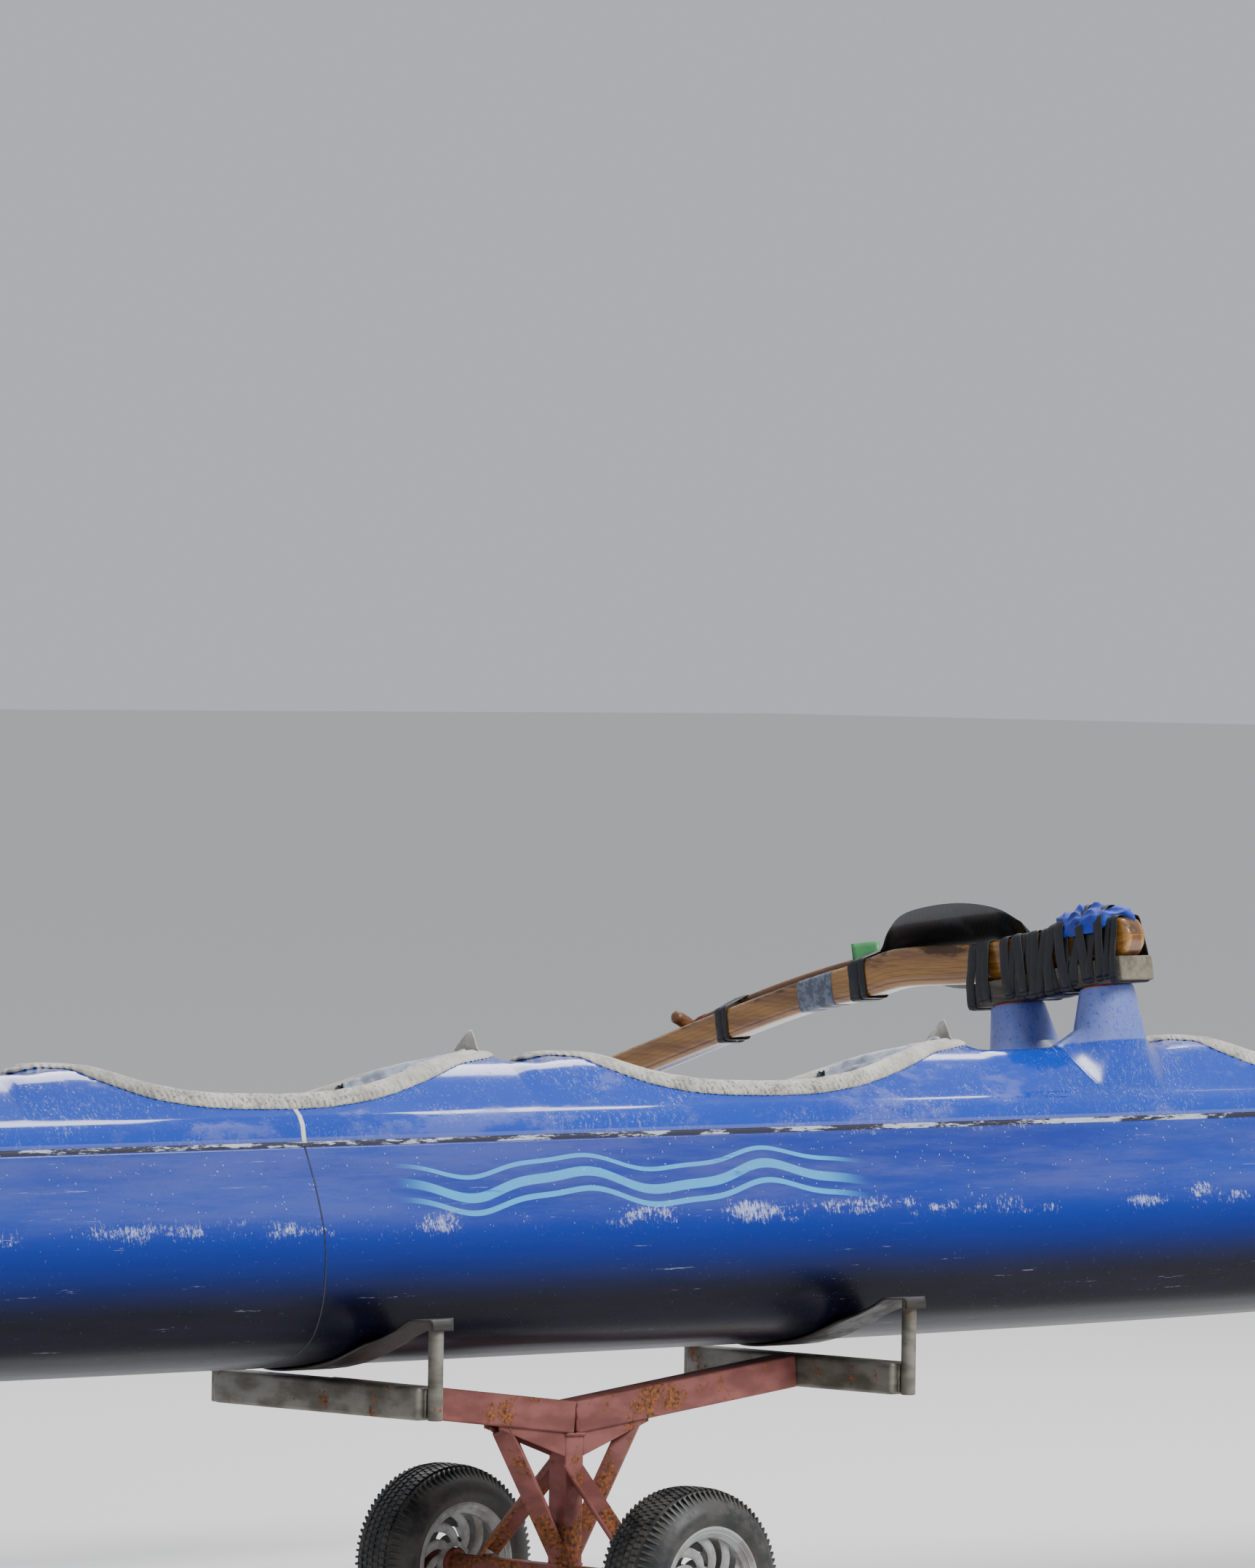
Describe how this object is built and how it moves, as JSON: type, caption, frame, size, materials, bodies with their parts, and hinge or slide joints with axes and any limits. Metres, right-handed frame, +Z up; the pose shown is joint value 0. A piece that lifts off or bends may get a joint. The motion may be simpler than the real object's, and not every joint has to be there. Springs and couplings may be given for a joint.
{
  "type": "six-seat outrigger canoe on launching trolleys",
  "caption": "Long narrow decked canoe with open cockpits, two cross beams to a side float, a spare paddle on the fore beam, lying heeled in the slings of wheeled trolleys.",
  "frame": {"origin": "on the ground, under the middle of the whole craft's bounding box", "axes": "+X towards the bow, +Y to port, where the float is, +Z up. The hull is heeled 10 degrees towards the float, as it lies in its slings."},
  "size_m": [13.6998, 2.4596, 1.5389],
  "materials": {
    "hull_blue": "glossy dark royal-blue gel coat over fibreglass, salt film and scuffs",
    "deck_blue": "glossy bright royal-blue gel coat over fibreglass, dusty in places",
    "seat_grey": "semi-matt grey fibreglass",
    "trim_fabric": "worn grey-white coated cloth with dark mould spots",
    "varnished_wood": "golden varnished laminated wood, worn dark in patches",
    "grey_timber": "bare weathered grey timber",
    "black_rubber": "black inner-tube rubber, dusty",
    "red_pad": "thin red rubber pad",
    "blue_cloth": "bright blue synthetic cloth",
    "carbon": "black carbon composite, semi-gloss",
    "galvanised": "dull galvanised steel, stained and rusty in places",
    "red_primer": "faded red primer paint with heavy rust stains",
    "tyre_rubber": "black turf tyre, dusty",
    "rim_plastic": "white-grey moulded plastic, scuffed"
  },
  "bodies": {
    "canoe_on_trolleys": {"hull_stern": "hull_blue", "deck_stern": "deck_blue", "hull_aft": "hull_blue", "deck_aft": "deck_blue", "hull_mid_aft": "hull_blue", "deck_mid_aft": "deck_blue", "hull_mid_fore": "hull_blue", "deck_mid_fore": "deck_blue", "hull_fore": "hull_blue", "deck_fore": "deck_blue", "hull_bow": "hull_blue", "deck_bow": "deck_blue", "seat_1": "seat_grey", "seat_2": "seat_grey", "seat_3": "seat_grey", "seat_4": "seat_grey", "seat_5": "seat_grey", "seat_6": "seat_grey", "cover_1": "trim_fabric", "cover_2": "trim_fabric", "cover_3": "trim_fabric", "cover_4": "trim_fabric", "cover_5": "trim_fabric", "cover_6": "trim_fabric", "pad_fore_port": "red_pad", "pad_fore_starboard": "red_pad", "beam_block_fore": "grey_timber", "beam_fore": "varnished_wood", "hull_lashing_fore": "black_rubber", "pad_aft_port": "red_pad", "pad_aft_starboard": "red_pad", "beam_block_aft": "grey_timber", "beam_aft": "varnished_wood", "hull_lashing_aft": "black_rubber", "float": "hull_blue", "float_lashing_fore": "black_rubber", "float_lashing_aft": "black_rubber", "paddle_shaft": "varnished_wood", "paddle_blade": "carbon", "paddle_tie_inboard": "black_rubber", "paddle_tie_outboard": "black_rubber", "cloth_wrap": "blue_cloth", "trolley_fore_frame": "red_primer", "trolley_fore_crossbar_fore": "galvanised", "trolley_fore_crossbar_aft": "galvanised", "trolley_fore_sling_fore": "black_rubber", "trolley_fore_sling_aft": "black_rubber", "trolley_aft_frame": "red_primer", "trolley_aft_crossbar_fore": "galvanised", "trolley_aft_crossbar_aft": "galvanised", "trolley_aft_sling_fore": "black_rubber", "trolley_aft_sling_aft": "black_rubber"},
    "wheel_fore_port": {"trolley_fore_tyre_port": "tyre_rubber", "trolley_fore_rim_port": "rim_plastic"},
    "wheel_fore_starboard": {"trolley_fore_tyre_starboard": "tyre_rubber", "trolley_fore_rim_starboard": "rim_plastic"},
    "wheel_aft_port": {"trolley_aft_tyre_port": "tyre_rubber", "trolley_aft_rim_port": "rim_plastic"},
    "wheel_aft_starboard": {"trolley_aft_tyre_starboard": "tyre_rubber", "trolley_aft_rim_starboard": "rim_plastic"}
  },
  "joints": [
    {"name": "wheel_fore_port_spin", "type": "hinge", "parent": "canoe_on_trolleys", "child": "wheel_fore_port", "pos_m": [0.83, -0.43683, 0.203], "axis": [0, 1, 0], "continuous": true},
    {"name": "wheel_fore_starboard_spin", "type": "hinge", "parent": "canoe_on_trolleys", "child": "wheel_fore_starboard", "pos_m": [0.83, -1.14883, 0.203], "axis": [0, 1, 0], "continuous": true},
    {"name": "wheel_aft_port_spin", "type": "hinge", "parent": "canoe_on_trolleys", "child": "wheel_aft_port", "pos_m": [-2.17, -0.43683, 0.203], "axis": [0, 1, 0], "continuous": true},
    {"name": "wheel_aft_starboard_spin", "type": "hinge", "parent": "canoe_on_trolleys", "child": "wheel_aft_starboard", "pos_m": [-2.17, -1.14883, 0.203], "axis": [0, 1, 0], "continuous": true}
  ]
}
